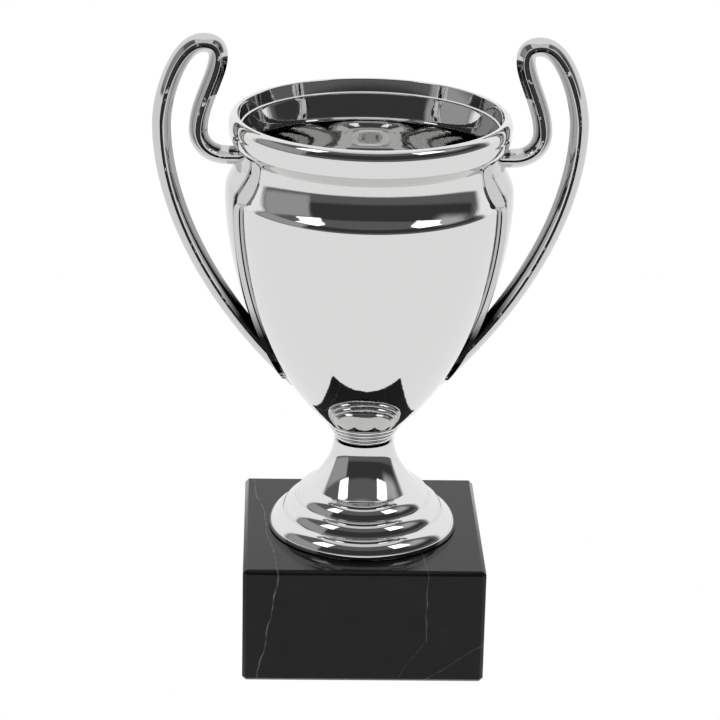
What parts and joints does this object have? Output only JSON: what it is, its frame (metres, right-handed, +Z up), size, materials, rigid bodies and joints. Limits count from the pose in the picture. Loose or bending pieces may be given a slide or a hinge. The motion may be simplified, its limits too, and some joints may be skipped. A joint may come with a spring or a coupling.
{
  "type": "trophy cup",
  "caption": "Chromed loving cup with arched side handles on a stepped foot, bolted through a polished black marble block.",
  "frame": {"origin": "middle of the square of felt pads that the trophy stands on, at their undersides", "axes": "+Z up along the tie rod, +X towards the right handle, +Y from the front face of the block to its back"},
  "size_m": [0.0884, 0.0576, 0.1324],
  "materials": {
    "marble": "polished",
    "foot_chromed_plastic": "polished",
    "collar_chromed_plastic": "polished",
    "bowl_chromed_plastic": "polished",
    "handle_chromed_plastic": "polished",
    "zinc_plate": "satin",
    "felt": "matte"
  },
  "bodies": {
    "root": {"marble_plinth": "marble", "foot": "foot_chromed_plastic", "neck_collar": "collar_chromed_plastic", "bowl": "bowl_chromed_plastic", "left_handle": "handle_chromed_plastic", "right_handle": "handle_chromed_plastic", "tie_rod": "zinc_plate", "bowl_washer": "zinc_plate", "bowl_nut": "zinc_plate", "base_washer": "zinc_plate", "base_nut": "zinc_plate", "pad_front_left": "felt", "pad_front_right": "felt", "pad_back_left": "felt", "pad_back_right": "felt"}
  },
  "joints": []
}
